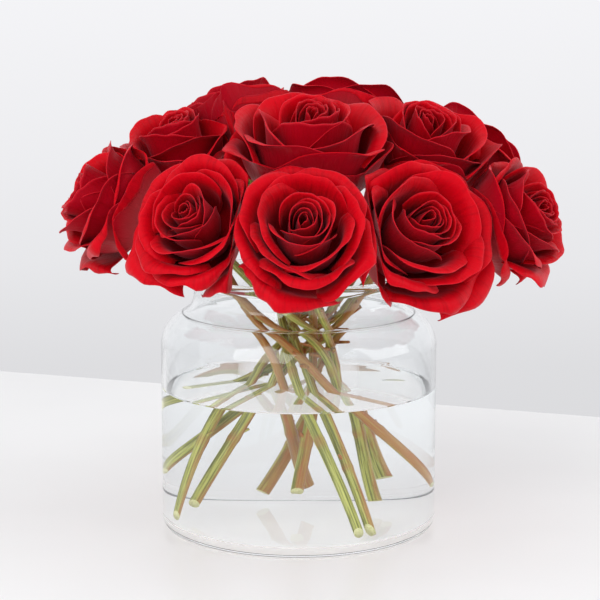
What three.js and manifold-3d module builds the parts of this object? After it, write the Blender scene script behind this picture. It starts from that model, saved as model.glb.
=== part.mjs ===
// A dozen red garden roses in a wide clear glass vase, half full of water. The vase is a straight-sided
// cylinder with a rounded shoulder and a short, wide neck. The blooms make a low dome above the neck, and
// the stems cross in a spiral in the middle of the vase and splay out to its floor and wall.
//
// Millimetres, +Z up. The origin is the centre of the vase's flat base, and the front is towards -Y.

import * as THREE from "three";
import { mergeVertices } from "three/addons/utils/BufferGeometryUtils.js";
import Module from "manifold-3d";

const wasm = await Module();
wasm.setup();

// The vase
const VASE_RADIUS = 82.5;
const VASE_WALL = 2.8;
const VASE_FLOOR = 7;
const VASE_FOOT_ROUND = 8;
const VASE_INNER_ROUND = 6;
const VASE_SIDE_TOP = 112;
const SHOULDER_REACH = 22.5;
const SHOULDER_RISE = 22;
const SHOULDER_END = 65;
const NECK_RADIUS = 62.5;
const NECK_FILLET = 12;
const NECK_FILLET_START = 245.5;
const NECK_FOOT = 142.9;
const RIM_HEIGHT = 155;
const RIM_BEAD = 1.2;
const RIM_BULGE = 2.5;
const VASE_SIDES = 24;

// The water
const WATER_LEVEL = 86;
const TOUCH_GAP = 0.3;
const WATER_GAP = 0.35;

// The stems
const STEM_RADIUS = 2.7;
const STEM_SIDES = 6;
const STEM_STEPS = 6;
const HOLE_CLEARANCE = 0.45;
const STEM_SUNK = 5;
const STEM_NECK = 10;
const RIM_ROOM = 50;

// The hip, the swollen green cup under each bloom, as [radius, height] from the bloom's base, and its sepals,
// which spring from SEPAL_ROOT and turn back along the stem through an angle between the two in SEPAL_BEND
const HIP_LENGTH = 12;
const HIP_PROFILE = [[0, -HIP_LENGTH], [2, -HIP_LENGTH], [5.6, -4], [5, -TOUCH_GAP], [0, -TOUCH_GAP]];
const SEPAL_COUNT = 5;
const SEPAL_ROOT = [2.8, -5.5];
const SEPAL_LENGTH = 17;
const SEPAL_BEND = [60, 110];
const SEPAL_HALF_WIDTH = 2.5;
const SEPAL_TIP_SHARE = 0.22;
const SEPAL_THICK = 0.9;

// The petals. A bloom has PETAL_COUNT of them in a spiral, from the heart outwards. Those in SOLID_PETALS
// are blades here, and the rest are closed up into the ribbed heart.
const PETAL_COUNT = 30;
const PETAL_TURN = 137.5;
const TURN_SPREAD = 12;
const SOLID_PETALS = [20, 21, 25, 26, 27, 28, 29];
const PETAL_THICK = 0.75;
const OUTER_PETAL = 25;
const OUTER_GRID = [4, 3];
const INNER_GRID = [3, 2];
const BLOOM_DEPTH = 44;

// A petal's outline: its shoulders drop away from its point, less in an open petal, it is narrower at the
// root, and widest at a share of its length
const SHOULDER_DROP = 0.26;
const OPEN_LIFT = 0.1;
const TIP_LENGTH = 0.02;
const TIP_TAPER = 0.13;
const TAPER_POWER = 1.2;
const ROOT_WIDTH = 0.62;
const WIDEST = 0.85;

// Where the lip and the side edges begin to roll, how far the roll dips, and the part of a petal's wrap over
// which it goes from covering the one inside it to leaving it free
const LIP_START = 0.68;
const EDGE_START = 0.45;
const LIP_DIP = 0.7;
const EDGE_DIP = 0.6;
const COVER = [0.7, 1.05];

// The waves round a bloom and its oval, each turned by a fixed angle from one bloom to the next
const PETAL_WAVE = 1.6;
const WAVES_ROUND = 3;
const WAVE_SHIFT = 2.4;
const BLOOM_OVAL = 0.05;
const OVAL_SHIFT = 2.1;

// The heart, the closed inner petals, as [radius, height] with a groove between its two rings of lips. Its
// three lobes turn by a radian in LOBE_LEAN of height, and are full from LOBE_FULL up
const HEART_PROFILE = [[0, 0], [6, 0], [13, 16], [13.5, 40.5], [9.5, 36.5], [6.5, 42.5], [0, 37]];
const HEART_SIDES = 6;
const HEART_LOBE = 0.1;
const LOBE_LEAN = 5;
const LOBE_FULL = 20;

// Neighbouring blooms press each other flat: the room left to the plane between them, how softly, and from
// how far off
const BLOOM_GAP = 1.3;
const PRESS_SOFTNESS = 2.2;
const PRESS_REACH = 24;

// Each stage of opening: the petal rises from the receptacle to its lip along a cubic curve, whose points
// are [distance from the bloom's axis, height], and it wraps the axis by wrap degrees to each side. Its lip
// rolls out by lipRoll and its side edges by edgeRoll.
const STAGES = [
  { at: 0.0, curve: [[1.5, 6], [4, 10], [5.5, 30], [1.5, 42]], wrap: 150, lipRoll: 0, edgeRoll: 0 },
  { at: 0.3, curve: [[2.5, 5], [11, 6], [12, 28], [9, 44]], wrap: 110, lipRoll: 0.5, edgeRoll: 0.3 },
  { at: 0.52, curve: [[3, 4], [18, 3], [17, 27], [15.5, 43]], wrap: 88, lipRoll: 1.2, edgeRoll: 0.6 },
  { at: 0.62, curve: [[3.5, 3], [24, 2], [22, 24], [23, 41]], wrap: 72, lipRoll: 2.5, edgeRoll: 1.5 },
  { at: 0.82, curve: [[4, 2], [30, 0], [29, 20], [33, 36]], wrap: 56, lipRoll: 5, edgeRoll: 4 },
  { at: 1.0, curve: [[4.5, 1], [32, -3], [36, 12], [43, 24]], wrap: 50, lipRoll: 8, edgeRoll: 7 },
];

// Each rose: the middle of its face, where its face looks (azimuth from +X towards +Y, and elevation), its
// size, how far its outer petals spread, how hard they push its neighbours', how far its spiral of petals is
// turned, and how its stem runs: where it passes the others in the vase (azimuth, distance from the vase's
// axis, height), and its cut end.
const ROSES = [
  { face: [3, -114, 206], looks: [-90, 37], size: 1.03, spread: 0.92, push: 1.5, spin: -5,
    pass: [-3, 21, 104], end: [31, 55, 20] },
  { face: [-62, -91, 205], looks: [-108, 30], size: 0.95, spread: 0.94, push: 1.0, spin: -50,
    pass: [-40, 21, 106], end: [32, 26, 11] },
  { face: [75, -82, 198], looks: [-64, 27], size: 1.08, spread: 1.06, push: 1.1, spin: -55,
    pass: [35, 21, 105], end: [-14, 60, 11] },
  { face: [5.5, -40, 257.5], looks: [-90, 71], size: 1.26, spread: 1.05, push: 1.15, spin: 15,
    pass: [-10, 9, 106], end: [-1, 17, 20] },
  { face: [-130.5, -26, 211], looks: [-168, 27], size: 1.08, spread: 0.88, push: 0.7, spin: -20,
    pass: [-84, 21, 106], end: [73, -5, 24] },
  { face: [147, -24, 199], looks: [-24, 24], size: 1.08, spread: 0.88, push: 0.8, spin: -60,
    pass: [77, 21, 105], end: [-71, 8, 71] },
  { face: [-76, 2, 247], looks: [-130, 70], size: 1.1, spread: 1.0, push: 0.75, spin: 12,
    pass: [-132, 21, 103], end: [4, 50, 17] },
  { face: [-50, 46, 256], looks: [130, 58], size: 1.17, spread: 1.05, push: 0.9, spin: 8,
    pass: [-80, 9, 106], end: [40, -56, 10] },
  { face: [32, 62, 261], looks: [68, 62], size: 1.15, spread: 1.05, push: 0.9, spin: 0,
    pass: [155, 9, 106], end: [-50, -3, 14] },
  { face: [79, -10, 251], looks: [-55, 64], size: 1.16, spread: 1.05, push: 0.8, spin: 35,
    pass: [80, 9, 106], end: [-66, 10, 29] },
  { face: [118, 62, 228], looks: [34, 38], size: 1.1, spread: 1.05, push: 0.8, spin: 0,
    pass: [140, 21, 105], end: [-68, -26, 10] },
  { face: [-32, 113, 213], looks: [106, 32], size: 1.1, spread: 1.05, push: 0.9, spin: 0,
    pass: [-118, 13, 106], end: [34, -62, 10] },
];

const RED = "#a80410";
const GREEN = "#6f8a34";

const degrees = THREE.MathUtils.degToRad;
const mix = THREE.MathUtils.lerp;

// A repeatable number from 0 to 1 for each pair of whole numbers.
function chance(a, b) {
  const s = Math.sin(a * 12.9898 + b * 78.233) * 43758.5453;
  return s - Math.floor(s);
}

// A geometry as a manifold-3d solid, and back.
function solidOf(geometry) {
  const bare = new THREE.BufferGeometry();
  bare.setAttribute("position", geometry.getAttribute("position").clone());
  if (geometry.index) bare.setIndex(geometry.index.clone());
  const merged = mergeVertices(bare.index ? bare.toNonIndexed() : bare, 1e-3);
  return new wasm.Manifold(
    new wasm.Mesh({
      numProp: 3,
      vertProperties: merged.attributes.position.array,
      triVerts: new Uint32Array(merged.index.array),
    }),
  );
}

function geometryOf(solid) {
  const mesh = solid.getMesh();
  const geometry = new THREE.BufferGeometry();
  geometry.setAttribute("position", new THREE.BufferAttribute(mesh.vertProperties, 3));
  geometry.setIndex(new THREE.BufferAttribute(mesh.triVerts, 1));
  return geometry;
}

// Part of an ellipse from angle a to b, in degrees, as [radius, height] points.
function arc(centre, rx, rz, a, b, steps) {
  return Array.from({ length: steps + 1 }, (_, i) => {
    const t = degrees(mix(a, b, i / steps));
    return [centre[0] + rx * Math.cos(t), centre[1] + rz * Math.sin(t)];
  });
}

// A profile of [radius, height] points turned round +Z.
function turned(profile, sides) {
  const points = profile.map(([r, z]) => new THREE.Vector2(r, z));
  return new THREE.LatheGeometry(points, sides).rotateX(Math.PI / 2);
}

function joined(geometries) {
  return geometries.map(solidOf).reduce((all, one) => all.add(one));
}

// A closed blade on the middle surface at(u, v), with u from -1 to 1 across and v from 0 to 1 along.
function bladeGeometry(at, columns, rows, thickness) {
  const sheet = new THREE.PlaneGeometry(2, 1, columns, rows);
  const flat = sheet.getAttribute("position");
  const step = 1e-3;
  const faces = [[], []];
  for (let i = 0; i < flat.count; i++) {
    const u = flat.getX(i);
    const v = flat.getY(i) + 0.5;
    const across = at(u + step, v).sub(at(u - step, v));
    const along = at(u, v + step).sub(at(u, v - step));
    const normal = across.cross(along).normalize();
    const middle = at(u, v);
    faces[0].push(middle.clone().addScaledVector(normal, thickness / 2));
    faces[1].push(middle.clone().addScaledVector(normal, -thickness / 2));
  }
  const index = Array.from(sheet.index.array);
  const back = index.slice().reverse().map((i) => i + flat.count);
  const ring = [];
  const width = columns + 1;
  for (let c = 0; c < columns; c++) ring.push(c);
  for (let r = 0; r < rows; r++) ring.push(r * width + columns);
  for (let c = columns; c > 0; c--) ring.push(rows * width + c);
  for (let r = rows; r > 0; r--) ring.push(r * width);
  const rim = ring.flatMap((a, i) => {
    const b = ring[(i + 1) % ring.length];
    return [a, b, b + flat.count, a, b + flat.count, a + flat.count];
  });
  const geometry = new THREE.BufferGeometry().setFromPoints(faces.flat());
  geometry.setIndex([...index, ...back, ...rim]);
  return geometry;
}

// The receptacle, the axis and two directions across it for each rose.
const blooms = ROSES.map((rose, number) => {
  const [azimuth, elevation] = rose.looks.map(degrees);
  const axis = new THREE.Vector3(
    Math.cos(azimuth) * Math.cos(elevation),
    Math.sin(azimuth) * Math.cos(elevation),
    Math.sin(elevation),
  );
  const face = new THREE.Vector3(...rose.face);
  const base = face.clone().addScaledVector(axis, -BLOOM_DEPTH * rose.size);
  const side = new THREE.Vector3(-Math.sin(azimuth), Math.cos(azimuth), 0);
  const up = axis.clone().cross(side);
  return { ...rose, number, axis, face, base, side, up };
});

// The planes that keep a bloom's petals off its neighbours': each is halfway between the two faces and
// between the two receptacles, nearer the one that pushes less.
function pressPlanes(bloom) {
  return blooms
    .filter((other) => other !== bloom)
    .map((other) => {
      const share = bloom.push / (bloom.push + other.push);
      const face = bloom.face.clone().lerp(other.face, share);
      const base = bloom.base.clone().lerp(other.base, share);
      const spine = face.clone().sub(base).normalize();
      const normal = other.face.clone().sub(bloom.face).add(other.base).sub(bloom.base);
      normal.addScaledVector(spine, -normal.dot(spine)).normalize();
      return { face, normal };
    });
}

// Presses a point back from each plane, so that it never comes nearer than BLOOM_GAP.
function pressed(point, planes) {
  for (const { face, normal } of planes) {
    const room = -point.clone().sub(face).dot(normal) - BLOOM_GAP;
    const kept = PRESS_SOFTNESS * Math.log1p(Math.exp(room / PRESS_SOFTNESS));
    if (room < PRESS_REACH) point.addScaledVector(normal, room - kept);
  }
  return point;
}

function stageAt(share) {
  const next = Math.max(1, STAGES.findIndex((stage) => stage.at >= share));
  const [a, b] = [STAGES[next - 1], STAGES[next]];
  const part = (share - a.at) / (b.at - a.at);
  return {
    curve: a.curve.map((point, i) => point.map((x, j) => mix(x, b.curve[i][j], part))),
    wrap: mix(a.wrap, b.wrap, part),
    lipRoll: mix(a.lipRoll, b.lipRoll, part),
    edgeRoll: mix(a.edgeRoll, b.edgeRoll, part),
  };
}

// One coordinate, 0 for the distance from the axis or 1 for the height, of a cubic curve at t.
function cubic(curve, coordinate, t) {
  const [p, q, r, s] = curve.map((point) => point[coordinate]);
  const n = 1 - t;
  return n * n * n * p + 3 * n * n * t * q + 3 * n * t * t * r + t * t * t * s;
}

function petalTurn(bloom, petal) {
  return petal * PETAL_TURN + bloom.spin + TURN_SPREAD * (chance(petal, bloom.number) - 0.5);
}

// How far a spot at an angle round the bloom is tucked behind the petals outside this one, from 0 to 1.
function tucked(bloom, petal, angle) {
  let most = 0;
  for (let other = petal + 1; other < PETAL_COUNT; other++) {
    const apart = Math.abs(THREE.MathUtils.euclideanModulo(angle - petalTurn(bloom, other) + 180, 360) - 180);
    const { wrap } = stageAt(other / (PETAL_COUNT - 1));
    most = Math.max(most, 1 - THREE.MathUtils.smoothstep(apart, COVER[0] * wrap, COVER[1] * wrap));
  }
  return most;
}

// The middle surface of one petal in the bloom's own frame.
function petalPoint(bloom, petal, u, v) {
  const share = petal / (PETAL_COUNT - 1);
  const stage = stageAt(share);
  const aside = Math.abs(u);
  const opening = share ** 2;
  const tip = opening * (TIP_LENGTH - TIP_TAPER * aside ** TAPER_POWER);
  const reach = v * (1 + tip - (SHOULDER_DROP - OPEN_LIFT * opening) * aside ** 3);
  const lip = Math.max(0, (reach - LIP_START) / (1 - LIP_START));
  const edge = Math.max(0, (aside - EDGE_START) / (1 - EDGE_START));
  const width = mix(ROOT_WIDTH, 1, Math.sin((Math.PI / 2) * Math.min(1, reach / WIDEST)));
  const turn = petalTurn(bloom, petal) + u * stage.wrap * width;
  const angle = degrees(turn);
  const wave = PETAL_WAVE * share * v * v * Math.sin(WAVES_ROUND * angle + WAVE_SHIFT * bloom.number);
  const roll = stage.edgeRoll * edge ** 2 * v * v * (1 - tucked(bloom, petal, turn));
  const oval = BLOOM_OVAL * Math.cos(2 * angle + OVAL_SHIFT * (bloom.number + 1));
  const swell = mix(1, bloom.spread, opening) + oval;
  const r = swell * (cubic(stage.curve, 0, reach) + stage.lipRoll * lip ** 2 + roll + wave);
  const z = cubic(stage.curve, 1, reach) - LIP_DIP * stage.lipRoll * lip ** 3 - EDGE_DIP * roll;
  return new THREE.Vector3(r * Math.cos(angle), r * Math.sin(angle), z);
}

// From the bloom's own frame to the vase's.
function placed(bloom, point, size = bloom.size) {
  return bloom.base
    .clone()
    .addScaledVector(bloom.side, point.x * size)
    .addScaledVector(bloom.up, point.y * size)
    .addScaledVector(bloom.axis, point.z * size);
}

// A profile turned round a bloom's axis. Its ring may swell into three lobes that lean as they rise.
function turnedOnBloom(bloom, profile, sides, size, lobe) {
  const geometry = turned(profile, sides);
  const spots = geometry.getAttribute("position");
  for (let i = 0; i < spots.count; i++) {
    const point = new THREE.Vector3().fromBufferAttribute(spots, i);
    const around = Math.atan2(point.y, point.x);
    const swell = 1 + lobe * Math.cos(3 * around + point.z / LOBE_LEAN) * Math.min(1, point.z / LOBE_FULL);
    point.multiply(new THREE.Vector3(swell, swell, 1));
    spots.setXYZ(i, ...placed(bloom, point, size));
  }
  return geometry;
}

function bloomSolid(bloom) {
  const planes = pressPlanes(bloom);
  const petals = SOLID_PETALS.map((petal) => {
    const at = (u, v) => pressed(placed(bloom, petalPoint(bloom, petal, u, v)), planes);
    const [columns, rows] = petal < OUTER_PETAL ? INNER_GRID : OUTER_GRID;
    return bladeGeometry(at, columns, rows, PETAL_THICK);
  });
  const heart = turnedOnBloom(bloom, HEART_PROFILE, HEART_SIDES, bloom.size, HEART_LOBE);
  return joined([heart, ...petals]);
}

// A stem's line: from inside the hip, over the vase's rim, past the other stems and to the cut end.
function stemPath(bloom) {
  const [azimuth, radius, height] = bloom.pass;
  const hipEnd = bloom.base.clone().addScaledVector(bloom.axis, STEM_SUNK - HIP_LENGTH);
  const neck = hipEnd.clone().addScaledVector(bloom.axis, -STEM_NECK);
  const pass = new THREE.Vector3(
    radius * Math.cos(degrees(azimuth)),
    radius * Math.sin(degrees(azimuth)),
    height,
  );
  const rim = neck.clone().lerp(pass, (neck.z - RIM_HEIGHT) / (neck.z - height));
  const inward = Math.min(1, RIM_ROOM / Math.hypot(rim.x, rim.y));
  rim.multiply(new THREE.Vector3(inward, inward, 1));
  return new THREE.CatmullRomCurve3([hipEnd, neck, rim, pass, new THREE.Vector3(...bloom.end)]);
}

function tubeGeometry(path, radius, steps) {
  const ring = new THREE.Shape();
  for (let i = 0; i < STEM_SIDES; i++) {
    const a = (2 * Math.PI * i) / STEM_SIDES;
    const [x, y] = [radius * Math.cos(a), radius * Math.sin(a)];
    if (i) ring.lineTo(x, y);
    else ring.moveTo(x, y);
  }
  ring.closePath();
  return new THREE.ExtrudeGeometry(ring, { steps, bevelEnabled: false, extrudePath: path });
}

function sepalGeometry(bloom, number) {
  const turn = degrees((360 * (number + 0.5)) / SEPAL_COUNT);
  const bend = degrees(mix(...SEPAL_BEND, chance(number, bloom.number + 80)));
  const at = (u, v) => {
    const out = SEPAL_ROOT[0] + (SEPAL_LENGTH * Math.sin(bend * v)) / bend;
    const down = SEPAL_ROOT[1] - (SEPAL_LENGTH * (1 - Math.cos(bend * v))) / bend;
    const half = SEPAL_HALF_WIDTH * mix(SEPAL_TIP_SHARE, 1, Math.sqrt(Math.max(0, 1 - v)));
    const point = new THREE.Vector3(out, u * half, down);
    return placed(bloom, point.applyAxisAngle(new THREE.Vector3(0, 0, 1), turn), 1);
  };
  return bladeGeometry(at, 1, 2, SEPAL_THICK);
}

function stemSolid(bloom) {
  const sepals = Array.from({ length: SEPAL_COUNT }, (_, i) => sepalGeometry(bloom, i));
  const hip = turnedOnBloom(bloom, HIP_PROFILE, SEPAL_COUNT, 1, 0);
  return joined([tubeGeometry(stemPath(bloom), STEM_RADIUS, STEM_STEPS), hip, ...sepals]);
}

function vaseGeometry() {
  const inner = VASE_RADIUS - VASE_WALL;
  const [foot, well] = [VASE_FOOT_ROUND, VASE_INNER_ROUND];
  const shoulderSpot = [VASE_RADIUS - SHOULDER_REACH, VASE_SIDE_TOP];
  const filletSpot = [NECK_RADIUS + NECK_FILLET, NECK_FOOT];
  const filletInside = NECK_FILLET + VASE_WALL;
  const outside = [
    [0, 0],
    ...arc([VASE_RADIUS - foot, foot], foot, foot, -90, 0, 3),
    ...arc(shoulderSpot, SHOULDER_REACH, SHOULDER_RISE, 0, SHOULDER_END, 3),
    ...arc(filletSpot, NECK_FILLET, NECK_FILLET, NECK_FILLET_START, 180, 2),
    [NECK_RADIUS, RIM_HEIGHT - 2 * RIM_BULGE],
    [NECK_RADIUS + RIM_BEAD, RIM_HEIGHT - RIM_BULGE],
    [NECK_RADIUS, RIM_HEIGHT],
  ];
  const throat = NECK_RADIUS - VASE_WALL;
  const inside = [
    [throat + RIM_BEAD, RIM_HEIGHT],
    [throat, RIM_HEIGHT - RIM_BULGE],
    ...arc(filletSpot, filletInside, filletInside, 180, NECK_FILLET_START, 2),
    ...arc(shoulderSpot, SHOULDER_REACH - VASE_WALL, SHOULDER_RISE - VASE_WALL, SHOULDER_END, 0, 3),
    ...arc([inner - well, VASE_FLOOR + well], well, well, 0, -90, 2),
    [0, VASE_FLOOR],
  ];
  return turned([...outside, ...inside], VASE_SIDES);
}

// The water fills the vase to its level, with a plain hole for each stem.
function waterSolid() {
  const radius = VASE_RADIUS - VASE_WALL - WATER_GAP;
  const [floor, well] = [VASE_FLOOR + TOUCH_GAP, VASE_INNER_ROUND];
  const profile = [
    [0, floor],
    ...arc([radius - well, floor + well], well, well, -90, 0, 2),
    [radius, WATER_LEVEL],
    [0, WATER_LEVEL],
  ];
  const holes = blooms.map((bloom) => {
    const path = stemPath(bloom);
    const past = path.getPointAt(1).addScaledVector(path.getTangentAt(1), HOLE_CLEARANCE);
    const line = new THREE.CatmullRomCurve3([...path.points.slice(0, -1), past]);
    return tubeGeometry(line, STEM_RADIUS + HOLE_CLEARANCE, STEM_STEPS);
  });
  return solidOf(turned(profile, VASE_SIDES)).subtract(joined(holes));
}

const red = new THREE.MeshStandardMaterial({ color: RED, roughness: 0.55, metalness: 0 });
const green = new THREE.MeshStandardMaterial({ color: GREEN, roughness: 0.5, metalness: 0 });
const glass = new THREE.MeshStandardMaterial({
  color: "#eef4f4", roughness: 0.03, metalness: 0, transparent: true, opacity: 0.3,
});
const clear = new THREE.MeshStandardMaterial({
  color: "#e6f1f2", roughness: 0.02, metalness: 0, transparent: true, opacity: 0.3,
});

function named(name, geometry, material) {
  const mesh = new THREE.Mesh(geometry, material);
  mesh.name = name;
  return mesh;
}

const bouquet = new THREE.Group();
bouquet.add(named("vase", vaseGeometry(), glass));
bouquet.add(named("water", geometryOf(waterSolid()), clear));
for (const bloom of blooms) {
  const number = String(bloom.number + 1).padStart(2, "0");
  bouquet.add(named(`bloom_${number}`, geometryOf(bloomSolid(bloom)), red));
  bouquet.add(named(`stem_${number}`, geometryOf(stemSolid(bloom)), green));
}

export default bouquet;
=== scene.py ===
"""A dozen red garden roses in a wide clear glass vase, half full of water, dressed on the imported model.

The petals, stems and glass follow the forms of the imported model, which gives their places.
"""

import math
from typing import NamedTuple

import bmesh
import bpy
import numpy as np
from mathutils import Matrix, Vector


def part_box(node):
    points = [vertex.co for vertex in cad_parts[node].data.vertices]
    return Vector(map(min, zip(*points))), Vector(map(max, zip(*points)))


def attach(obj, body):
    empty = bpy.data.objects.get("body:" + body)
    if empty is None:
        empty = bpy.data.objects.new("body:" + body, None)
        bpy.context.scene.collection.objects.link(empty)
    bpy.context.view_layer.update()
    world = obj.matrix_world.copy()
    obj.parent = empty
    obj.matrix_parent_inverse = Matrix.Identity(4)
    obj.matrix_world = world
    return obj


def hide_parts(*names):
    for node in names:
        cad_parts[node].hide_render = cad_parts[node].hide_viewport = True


bl_info = {
    "name": "Roses in a vase",
    "version": (1, 0, 0),
    "blender": (4, 5, 0),
    "location": "3D View > Sidebar > Roses",
    "description": "A bouquet of red roses in a clear glass vase with water",
    "category": "Add Mesh",
}

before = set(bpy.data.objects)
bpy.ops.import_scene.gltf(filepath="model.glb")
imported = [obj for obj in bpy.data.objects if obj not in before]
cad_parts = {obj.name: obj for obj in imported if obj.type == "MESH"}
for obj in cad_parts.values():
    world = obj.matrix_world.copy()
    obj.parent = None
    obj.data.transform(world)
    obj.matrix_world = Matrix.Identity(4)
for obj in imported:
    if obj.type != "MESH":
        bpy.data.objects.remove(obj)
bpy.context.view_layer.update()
VASE_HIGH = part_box("vase")[1]
WATER_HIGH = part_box("water")[1]

MM = 0.001

# The steps of a full turn and of the shoulder's arcs. A straight longer than LONG_STRAIGHT is shaded flat,
# by points at HOLD from its ends, both in millimetres.
ROUND_STEPS = 128
FINE_STEPS = 64
HOLD = 0.35
LONG_STRAIGHT = 2.1

# How glass and water bend light, and how much the water gathers what passes through it
GLASS_IOR = 1.47
WATER_IOR = 1.33
LIGHT_GATHERED = 1.09

# The turned section of the glass and the water, in millimetres and degrees. The floor rises towards the
# middle by [radius, rise], and the water climbs the glass by [distance from it, share of the climb].
FOOT = 8
SHOULDER = (22.5, 22)
SHOULDER_HEIGHT = 112
SHOULDER_END = 65
FILLET = 12
FILLET_HEIGHT = 142.9
FILLET_START = 245.5
BEAD = (1.8, 2.3)
BEAD_ARC = (-50, 90)
BEAD_SET = 0.6
BEAD_NECK = [(0, 6), (0.25, 4.6)]
LIP = (1.2, 2.0)
LIP_ARC = (90, 200)
LIP_SET = 0.9
LIP_END = 5
FLOOR_CORNER = 6
FOOT_STEPS = 12
BEAD_STEPS = 8
LIP_STEPS = 6
CORNER_STEPS = 10
FLOOR_RISE = [(60, 0.1), (42, 0.3), (22, 0.5), (0, 0.6)]
WATER_CLEAR = 0.02
MENISCUS = [(0, 1), (0.8, 0.4), (2, 0.14), (4.5, 0)]


class Rose(NamedTuple):
    """One rose, in millimetres and degrees."""

    number: int
    face: tuple  # the middle of its face
    looks: tuple  # where its face looks: azimuth from +X towards +Y, and elevation
    size: float
    spread: float  # how far its outer petals spread
    push: float  # how hard its petals push its neighbours'
    spin: float  # how far its spiral of petals is turned
    passing: tuple  # where its stem passes the others: azimuth, distance from the vase's axis, height
    end: tuple  # the cut end
    blush: float  # how much red-brown there is in the stem's green
    point: float  # how far the tips of its outer petals are drawn out, as a share of their length
    loose: float  # how unevenly its outer petals stand and fold


ROSES = [
    Rose(1, (3, -114, 206), (-90, 37), 1.03, 0.92, 1.5, -5,
         (-3, 21, 104), (31, 55, 20), 0.3, 0.04, 1.0),
    Rose(2, (-62, -91, 205), (-108, 30), 0.95, 0.94, 1.0, -50,
         (-40, 21, 106), (32, 26, 11), 0.2, 0.1, 1.0),
    Rose(3, (75, -82, 198), (-64, 27), 1.08, 1.06, 1.1, -55,
         (35, 21, 105), (-14, 60, 11), 0.75, 0.14, 1.2),
    Rose(4, (5.5, -40, 257.5), (-90, 71), 1.26, 1.05, 1.15, 15,
         (-10, 9, 106), (-1, 17, 20), 0.6, 0.12, 1.0),
    Rose(5, (-130.5, -26, 211), (-168, 27), 1.08, 0.88, 0.7, -20,
         (-84, 21, 106), (73, -5, 24), 0.65, 0.2, 1.3),
    Rose(6, (147, -24, 199), (-24, 24), 1.08, 0.88, 0.8, -60,
         (77, 21, 105), (-71, 8, 71), 0.15, 0.14, 1.3),
    Rose(7, (-76, 2, 247), (-130, 70), 1.1, 1.0, 0.75, 12,
         (-132, 21, 103), (4, 50, 17), 0.8, 0.14, 1.6),
    Rose(8, (-50, 46, 256), (130, 58), 1.17, 1.05, 0.9, 8,
         (-80, 9, 106), (40, -56, 10), 0.35, 0.3, 2.4),
    Rose(9, (32, 62, 261), (68, 62), 1.15, 1.05, 0.9, 0,
         (155, 9, 106), (-50, -3, 14), 0.35, 0.2, 2.0),
    Rose(10, (79, -10, 251), (-55, 64), 1.16, 1.05, 0.8, 35,
         (80, 9, 106), (-66, 10, 29), 0.4, 0.3, 2.4),
    Rose(11, (118, 62, 228), (34, 38), 1.1, 1.05, 0.8, 0,
         (140, 21, 105), (-68, -26, 10), 0.3, 0.3, 2.4),
    Rose(12, (-32, 113, 213), (106, 32), 1.1, 1.05, 0.9, 0,
         (-118, 13, 106), (34, -62, 10), 0.05, 0.14, 1.3),
]

# The petals of a bloom stand in a spiral, from the heart outwards, and the heart misses a few places of it.
# Open petals have more rows than closed ones, crowded towards the lip.
HEART_PETALS = [0, 1, 3, 5, 6, 8, 10, 11, 13, 15]
OUTER_START = 17
PETAL_TURN = 137.5
TURN_SPREAD = 12
BLOOM_DEPTH = 44
OPEN_FROM = 0.55
OPEN_GRID = (28, 22)
CLOSED_GRID = (32, 12)
LIP_CROWDING = 1.3

# A petal's outline, as shares of its length: its shoulders drop away from its point, less in an open petal,
# it is narrower at the root and widest further up, and its lip is ragged by [share, waves]
SHOULDER_DROP = 0.26
OPEN_LIFT = 0.1
TIP_LENGTH = 0.02
TIP_TAPER = 0.13
TAPER_POWER = 1.2
ROOT_WIDTH = 0.62
WIDEST = 0.85
POINT_WIDTH = 0.22
POINT_ASIDE = 0.5
RAGGED = [(0.026, 7), (0.008, 17)]
PETAL_UNEVEN = 0.1

# Where the lip and the side edges begin to roll, how far the roll dips, the part of a petal's wrap over
# which it goes from covering the one inside it to leaving it free, and how far round the very lip rolls
LIP_START = 0.68
EDGE_START = 0.45
LIP_DIP = 0.7
EDGE_DIP = 0.6
COVER = (0.7, 1.05)
ROLL_START = 0.76
ROLL_POWER = 1.5
LIP_ROLL = (15, 150)
MIDDLE_ROLL = 0.4
SIDE_POWER = 1.3
ROLL_LUCK = (0.6, 1.2)
ROLL_WAVES = [(0.3, 5), (0.4, 2)]

# How a petal departs from the smooth curve, in millimetres, with its skew in degrees and, for a wave that
# starts by luck, the range of that start in radians
PHASE = 6
PETAL_WAVE = 1.6
WAVES_ROUND = 3
WAVE_SHIFT = 2.4
RIPPLE_WAVES = (8, 16)
CREASE = 0.5
CREASE_WIDTH = 0.07
PETAL_LEAN = 5
PETAL_FOLD = 5
PETAL_SKEW = 22
CRUMPLE = 0.9
CRUMPLE_WAVES = [(5.5, 5), (4, -7)]

# How a bloom departs from round: oval all over, three-lobed and leaning at the heart
BLOOM_OVAL = 0.05
OVAL_SHIFT = 2.1
HEART_LEAN = 2.5
LEAN_SHIFT = 4.7
HEART_LOBE = 0.08
LOBES = 3
LOBE_LEAN = 5

# Each stage of opening: the petal rises along a cubic curve of [distance from the bloom's axis, height],
# wraps the axis by wrap degrees to each side, and rolls out its lip and its side edges.
STAGES = [
    {"at": 0.0, "curve": [[1.5, 6], [4, 10], [5.5, 30], [1.5, 42]], "wrap": 150, "lip": 0, "edge": 0},
    {"at": 0.3, "curve": [[2.5, 5], [11, 6], [12, 28], [9, 44]], "wrap": 110, "lip": 0.5, "edge": 0.3},
    {"at": 0.52, "curve": [[3, 4], [18, 3], [17, 27], [15.5, 43]], "wrap": 88, "lip": 1.2, "edge": 0.6},
    {"at": 0.62, "curve": [[3.5, 3], [24, 2], [22, 24], [23, 41]], "wrap": 72, "lip": 2.5, "edge": 1.5},
    {"at": 0.82, "curve": [[4, 2], [30, 0], [29, 20], [33, 36]], "wrap": 56, "lip": 5, "edge": 4},
    {"at": 1.0, "curve": [[4.5, 1], [32, -3], [36, 12], [43, 24]], "wrap": 50, "lip": 8, "edge": 7},
]

# Neighbouring blooms press each other flat: the room left to the plane between them, and how softly
BLOOM_GAP = 1.3
PRESS_SOFTNESS = 2.2

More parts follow.
